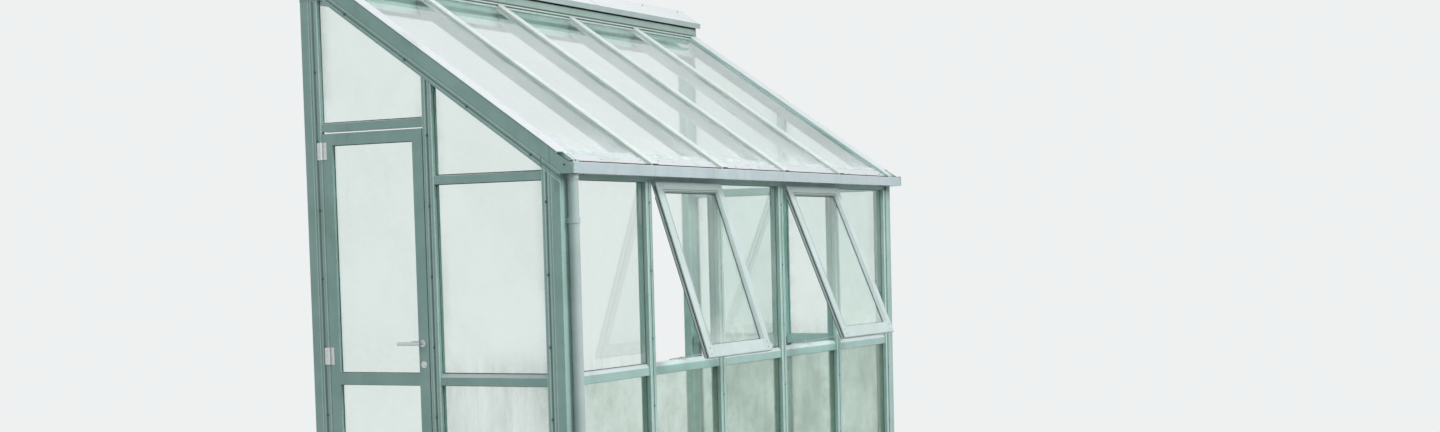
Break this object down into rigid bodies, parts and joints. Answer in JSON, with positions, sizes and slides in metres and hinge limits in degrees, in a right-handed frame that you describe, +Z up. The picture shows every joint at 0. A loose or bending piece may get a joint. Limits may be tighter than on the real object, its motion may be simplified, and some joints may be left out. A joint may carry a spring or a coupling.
{
  "type": "lean-to greenhouse",
  "caption": "Aluminium and glass lean-to greenhouse with a sloping glazed roof, opening side vents, a gable door, a front gutter and a downpipe.",
  "frame": {"origin": "on the ground, under the middle of the overall box", "axes": "+X along the long front wall to the right as seen from outside, +Y back towards the wall side, +Z up"},
  "size_m": [3.2692, 1.5302, 2.6412],
  "materials": {
    "frame": "pale sage green paint, satin, weathered",
    "roof_frame": "pale sage green paint, satin, weathered",
    "flashing": "off-white paint, satin",
    "gutter": "pale sage green paint, satin, weathered",
    "downpipe": "pale sage green paint, satin",
    "vent_frame": "pale sage green paint, satin",
    "stays": "satin",
    "door_frame": "pale sage green paint, satin",
    "hardware": "satin",
    "wall_glass": "clear float glass, slightly dusty",
    "roof_glass": "clear float glass, weathered"
  },
  "bodies": {
    "root": {"base_rail_front": "frame", "base_rail_left": "frame", "base_rail_right": "frame", "corner_post_left": "frame", "corner_post_right": "frame", "door_glass": "wall_glass", "door_handle": "hardware", "door_head": "frame", "door_hinges": "hardware", "door_leaf": "door_frame", "door_threshold": "frame", "downpipe": "downpipe", "downpipe_fittings": "downpipe", "eaves_beam": "roof_frame", "gable_post_left": "frame", "gable_post_right": "frame", "gable_transom_left": "frame", "gable_transom_right": "frame", "glass_front_lower": "wall_glass", "glass_front_upper": "wall_glass", "glass_gable_left": "wall_glass", "glass_gable_right": "wall_glass", "gutter_ends": "gutter", "gutter_floor": "gutter", "gutter_front": "gutter", "mullion_1": "frame", "mullion_2": "frame", "mullion_3": "frame", "mullion_4": "frame", "rafter_1": "roof_frame", "rafter_2": "roof_frame", "rafter_3": "roof_frame", "rafter_4": "roof_frame", "rake_left": "roof_frame", "rake_right": "roof_frame", "ridge_beam": "roof_frame", "roof_glass": "roof_glass", "sill_rail_front": "frame", "sill_rail_left": "frame", "sill_rail_right": "frame", "vent_frame_2": "vent_frame", "vent_frame_4": "vent_frame", "vent_glass": "wall_glass", "vent_stays": "stays", "wall_flashing": "flashing", "wall_post_left": "frame", "wall_post_right": "frame"}
  },
  "joints": []
}
